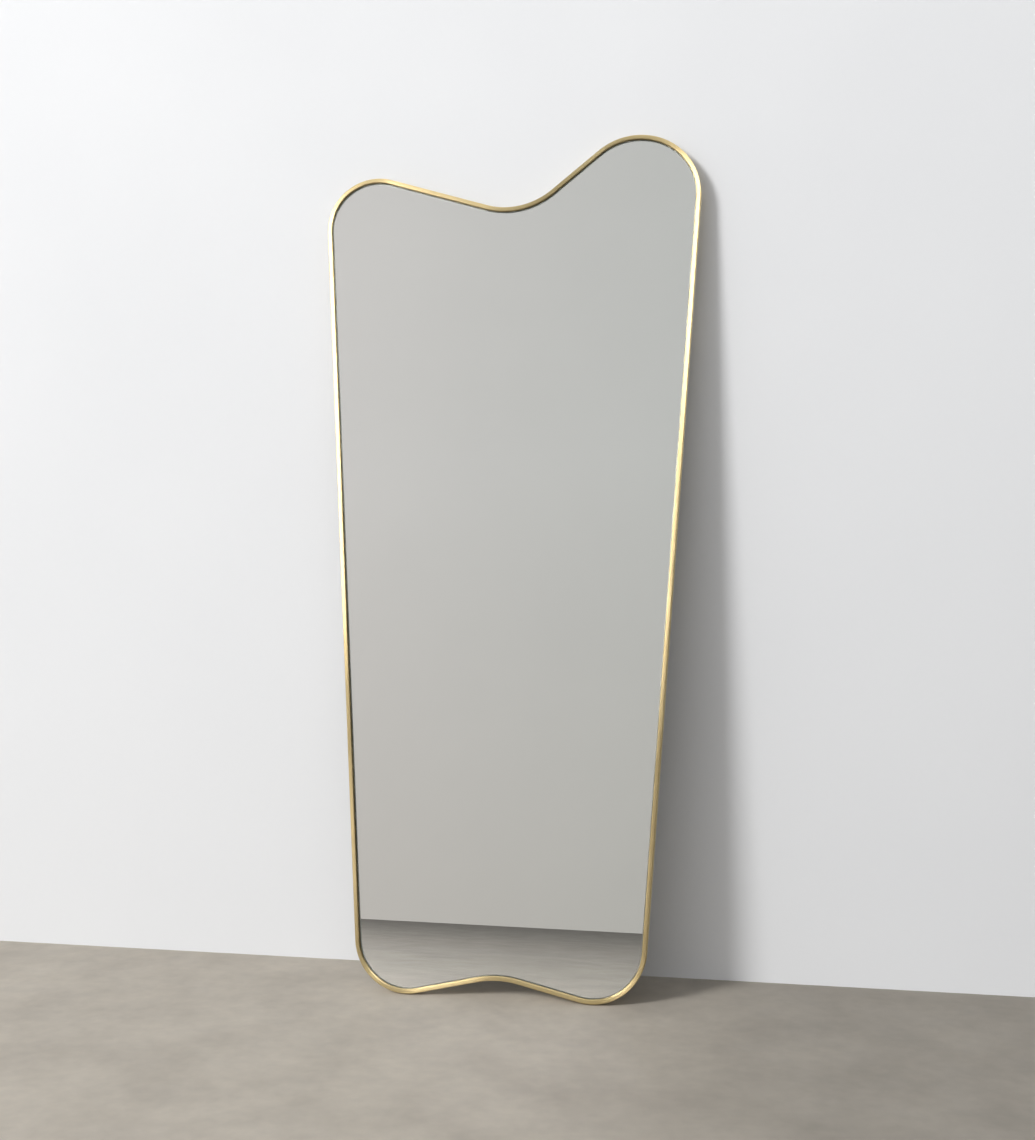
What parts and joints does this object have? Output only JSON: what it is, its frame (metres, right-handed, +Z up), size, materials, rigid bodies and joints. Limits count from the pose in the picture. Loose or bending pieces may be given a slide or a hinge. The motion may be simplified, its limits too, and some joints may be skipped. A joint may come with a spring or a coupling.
{
  "type": "leaning floor mirror",
  "caption": "Full-length floor mirror with a wavy outline and a slim brass tube rim, leaning back on a wall, with ring hangers on its back.",
  "frame": {"origin": "on the floor, midway between the two bottom lobes' points of contact", "axes": "+Z up, +X to the right seen from the front, +Y to the wall behind; the mirror is stored leaning"},
  "size_m": [0.8727, 0.2371, 1.9207],
  "materials": {
    "satin_brass": "brushed satin",
    "clear_glass": "polished",
    "mirror_silver": "silvered",
    "black_fibreboard": "painted matt",
    "foam_tape": "closed-cell foam",
    "tab_steel": "plated with the rim",
    "zinc_steel": "zinc plated",
    "nickel_steel": "nickel plated",
    "black_rubber": "matt"
  },
  "bodies": {
    "mirror": {"frame_rim": "satin_brass", "mirror_glass": "clear_glass", "silver_backing": "mirror_silver", "back_panel": "black_fibreboard", "hanger_screws": "zinc_steel", "tape_strip_1": "foam_tape", "tape_strip_2": "foam_tape", "tape_strip_3": "foam_tape", "tape_strip_4": "foam_tape", "tape_strip_5": "foam_tape", "tape_strip_6": "foam_tape", "panel_tab_1": "tab_steel", "panel_tab_2": "tab_steel", "panel_tab_3": "tab_steel", "panel_tab_4": "tab_steel", "panel_tab_5": "tab_steel", "panel_tab_6": "tab_steel", "panel_tab_7": "tab_steel", "panel_tab_8": "tab_steel", "panel_tab_9": "tab_steel", "panel_tab_10": "tab_steel", "hanger_strap_left": "nickel_steel", "hanger_strap_right": "nickel_steel", "bumper_1": "black_rubber", "bumper_2": "black_rubber", "bumper_3": "black_rubber", "bumper_4": "black_rubber"},
    "ring_left": {"d_ring_left": "nickel_steel"},
    "ring_right": {"d_ring_right": "nickel_steel"}
  },
  "joints": [
    {"name": "ring_swing_left", "type": "hinge", "parent": "mirror", "child": "ring_left", "pos_m": [-0.24, 0.15749, 1.4716], "axis": [1, 0, 0], "range_deg": [-6, 173]},
    {"name": "ring_swing_right", "type": "hinge", "parent": "mirror", "child": "ring_right", "pos_m": [0.24, 0.15749, 1.4716], "axis": [1, 0, 0], "range_deg": [-6, 173]}
  ]
}
